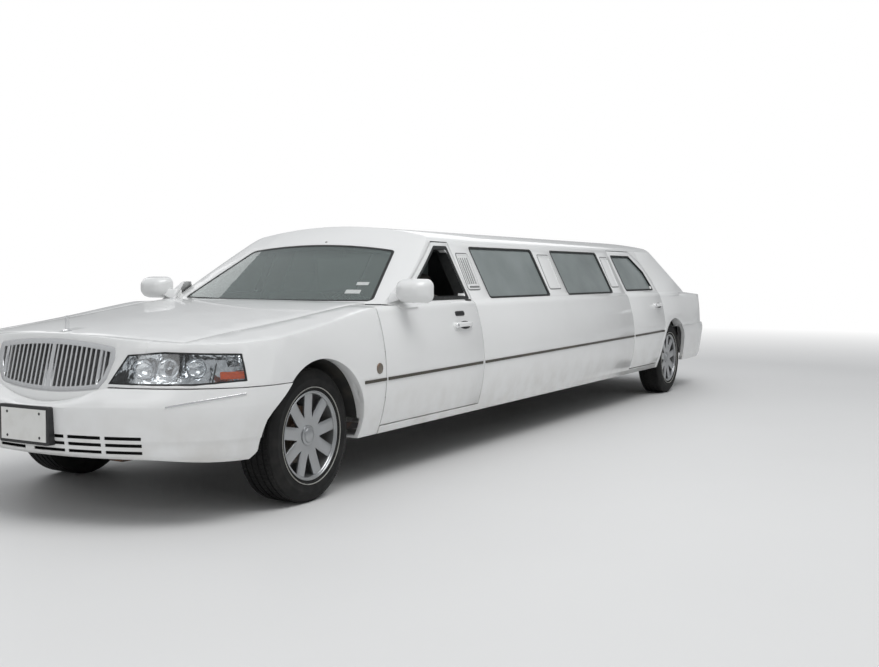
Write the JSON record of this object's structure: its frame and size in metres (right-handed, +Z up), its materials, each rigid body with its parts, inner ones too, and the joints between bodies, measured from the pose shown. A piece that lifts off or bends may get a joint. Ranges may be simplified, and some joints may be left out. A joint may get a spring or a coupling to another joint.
{
  "type": "stretch limousine",
  "caption": "Long-wheelbase white limousine with sedan nose and deck, stretched cabin with fixed side windows, hinged doors, hood, trunk lid and rolling, steering wheels.",
  "frame": {"origin": "on the ground, midway along the car on its centre plane", "axes": "+X forward, +Y to the car's left, +Z up"},
  "size_m": [8.54, 2.2, 1.505],
  "materials": {
    "paint": "gloss",
    "privacy_glass": "gloss",
    "windshield_glass": "gloss",
    "chrome_trim": "polished",
    "lamp_clear": "gloss",
    "lamp_red": "gloss",
    "black_plastic": "matte",
    "plate_white": "satin",
    "wheel_alloy": "satin",
    "tyre_rubber": "matte",
    "underbody": "matte",
    "chassis_steel": "matte",
    "cast_metal": "matte",
    "exhaust_steel": "matte",
    "interior_plastic": "matte",
    "seat_leather": "matte"
  },
  "bodies": {
    "root": {"floorpan": "underbody", "frame": "chassis_steel", "engine": "cast_metal", "driveline": "chassis_steel", "exhaust": "exhaust_steel", "fuel_tank": "black_plastic", "rear_axle": "chassis_steel", "front_suspension": "chassis_steel", "cowl": "paint", "front_wheelhouses": "underbody", "rear_wheelhouses": "underbody", "roof_shell": "paint", "rear_shelf": "paint", "windshield": "windshield_glass", "rear_window": "privacy_glass", "side_windows": "privacy_glass", "nose_panel": "paint", "grille": "chrome_trim", "headlamps": "lamp_clear", "taillamps": "lamp_red", "front_bumper": "paint", "rear_bumper": "paint", "plate_bracket": "black_plastic", "front_plate": "plate_white", "dashboard": "interior_plastic", "steering_wheel": "interior_plastic", "front_seats": "seat_leather", "lounge_seats": "seat_leather", "side_bench": "seat_leather", "partition": "interior_plastic", "wipers": "black_plastic", "fender_left": "paint", "fender_right": "paint", "side_panel_left": "paint", "side_panel_right": "paint", "quarter_left": "paint", "quarter_right": "paint"},
    "hood": {"hood": "paint"},
    "trunk_lid": {"trunk_lid": "paint"},
    "door_front_left": {"door_front_left": "paint", "mirror_left": "paint"},
    "door_front_right": {"door_front_right": "paint", "mirror_right": "paint", "glass_front_right": "privacy_glass"},
    "door_rear_left": {"door_rear_left": "paint", "glass_rear_left": "privacy_glass"},
    "door_rear_right": {"door_rear_right": "paint", "glass_rear_right": "privacy_glass"},
    "knuckle_left": {"knuckle_left": "chassis_steel"},
    "knuckle_right": {"knuckle_right": "chassis_steel"},
    "wheel_front_left": {"rim_front_left": "wheel_alloy", "tyre_front_left": "tyre_rubber"},
    "wheel_front_right": {"rim_front_right": "wheel_alloy", "tyre_front_right": "tyre_rubber"},
    "wheel_rear_left": {"rim_rear_left": "wheel_alloy", "tyre_rear_left": "tyre_rubber"},
    "wheel_rear_right": {"rim_rear_right": "wheel_alloy", "tyre_rear_right": "tyre_rubber"}
  },
  "joints": [
    {"name": "hood_hinge", "type": "hinge", "parent": "root", "child": "hood", "pos_m": [2.448, 0, 0.99], "axis": [0, -1, 0], "range_deg": [0, 50]},
    {"name": "trunk_lid_hinge", "type": "hinge", "parent": "root", "child": "trunk_lid", "pos_m": [-3.425, 0, 1.002], "axis": [0, 1, 0], "range_deg": [0, 75]},
    {"name": "door_front_left_hinge", "type": "hinge", "parent": "root", "child": "door_front_left", "pos_m": [2.528, 0.975, 0.6], "axis": [0, 0, -1], "range_deg": [0, 68]},
    {"name": "door_rear_left_hinge", "type": "hinge", "parent": "root", "child": "door_rear_left", "pos_m": [-1.675, 0.975, 0.6], "axis": [0, 0, -1], "range_deg": [0, 68]},
    {"name": "steer_left", "type": "hinge", "parent": "root", "child": "knuckle_left", "pos_m": [3.213, 0.735, 0.35], "axis": [0, 0, 1], "range_deg": [-33, 33]},
    {"name": "wheel_front_left_spin", "type": "hinge", "parent": "knuckle_left", "child": "wheel_front_left", "pos_m": [3.213, 0.805, 0.35], "axis": [0, 1, 0], "continuous": true},
    {"name": "wheel_rear_left_spin", "type": "hinge", "parent": "root", "child": "wheel_rear_left", "pos_m": [-2.825, 0.825, 0.35], "axis": [0, 1, 0], "continuous": true},
    {"name": "door_front_right_hinge", "type": "hinge", "parent": "root", "child": "door_front_right", "pos_m": [2.528, -0.975, 0.6], "axis": [0, 0, 1], "range_deg": [0, 68]},
    {"name": "door_rear_right_hinge", "type": "hinge", "parent": "root", "child": "door_rear_right", "pos_m": [-1.675, -0.975, 0.6], "axis": [0, 0, 1], "range_deg": [0, 68]},
    {"name": "steer_right", "type": "hinge", "parent": "root", "child": "knuckle_right", "pos_m": [3.213, -0.735, 0.35], "axis": [0, 0, 1], "range_deg": [-33, 33]},
    {"name": "wheel_front_right_spin", "type": "hinge", "parent": "knuckle_right", "child": "wheel_front_right", "pos_m": [3.213, -0.805, 0.35], "axis": [0, 1, 0], "continuous": true},
    {"name": "wheel_rear_right_spin", "type": "hinge", "parent": "root", "child": "wheel_rear_right", "pos_m": [-2.825, -0.825, 0.35], "axis": [0, 1, 0], "continuous": true}
  ],
  "couplings": [
    {"joint": "steer_right", "follows": "steer_left", "ratio": 1}
  ]
}
